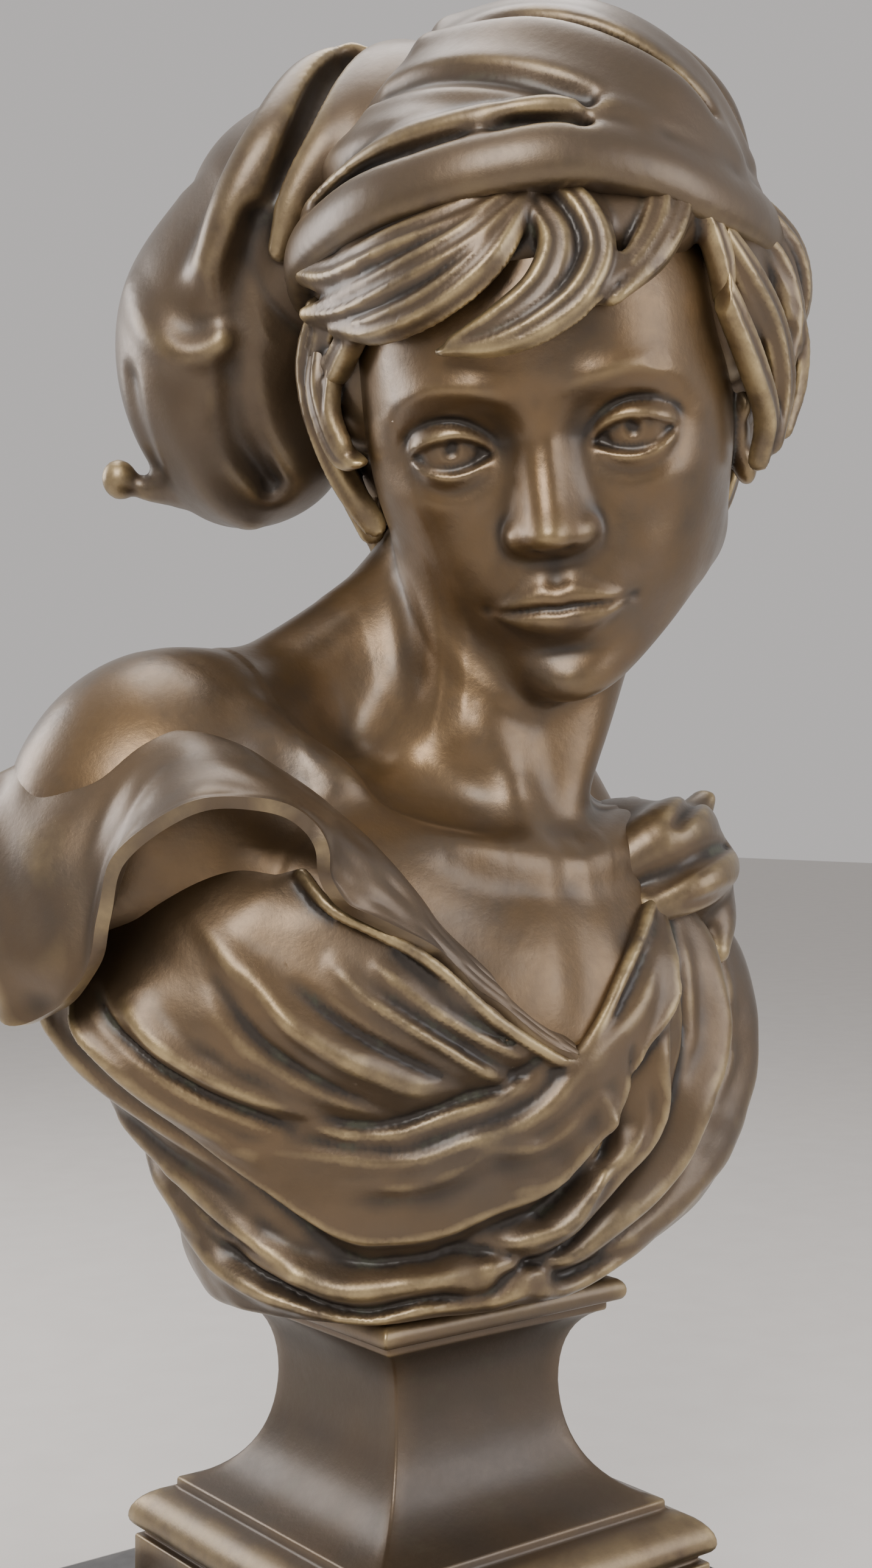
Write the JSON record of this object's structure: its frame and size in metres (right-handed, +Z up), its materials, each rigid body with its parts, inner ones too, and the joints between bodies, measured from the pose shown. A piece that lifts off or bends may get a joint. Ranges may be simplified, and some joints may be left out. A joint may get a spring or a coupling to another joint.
{
  "type": "portrait bust",
  "caption": "Cast bronze bust of a youth in a soft stocking cap and draped shirt, on a square waisted socle and a dark marble base.",
  "frame": {"origin": "centre of the underside of the felt, on the axis of the tie rod", "axes": "+Z up, -Y the way the chest and the socle's front face, -X the figure's right shoulder"},
  "size_m": [0.3372, 0.2588, 0.6075],
  "materials": {
    "felt": "matt green baize",
    "marble": "polished black marble",
    "bronze_socle": "satin brown patina",
    "bronze_drapery": "satin brown patina, rubbed on the folds",
    "bronze_skin": "smooth satin golden-brown patina",
    "bronze_cap": "satin brown-grey patina",
    "bronze_hair": "satin brown patina with rubbed golden edges",
    "fixings": "plain turned steel"
  },
  "bodies": {
    "root": {"felt_sheet": "felt", "marble_base": "marble", "locating_pins": "fixings", "socle_casting": "bronze_socle", "torso_casting": "bronze_drapery", "bare_shoulder_casting": "bronze_skin", "head_casting": "bronze_skin", "cap_crown_casting": "bronze_cap", "cap_bag_casting": "bronze_cap", "cap_tassel_casting": "bronze_cap", "fringe_hair_casting": "bronze_hair", "left_side_hair_casting": "bronze_hair", "right_side_hair_casting": "bronze_hair", "nape_hair_casting": "bronze_hair", "sleeve_casting": "bronze_drapery", "shoulder_knot_casting": "bronze_drapery", "tie_rod": "fixings", "base_washer": "fixings", "base_nut": "fixings", "bridge_washer": "fixings", "bridge_nut": "fixings", "bridge_bar": "bronze_socle"}
  },
  "joints": []
}
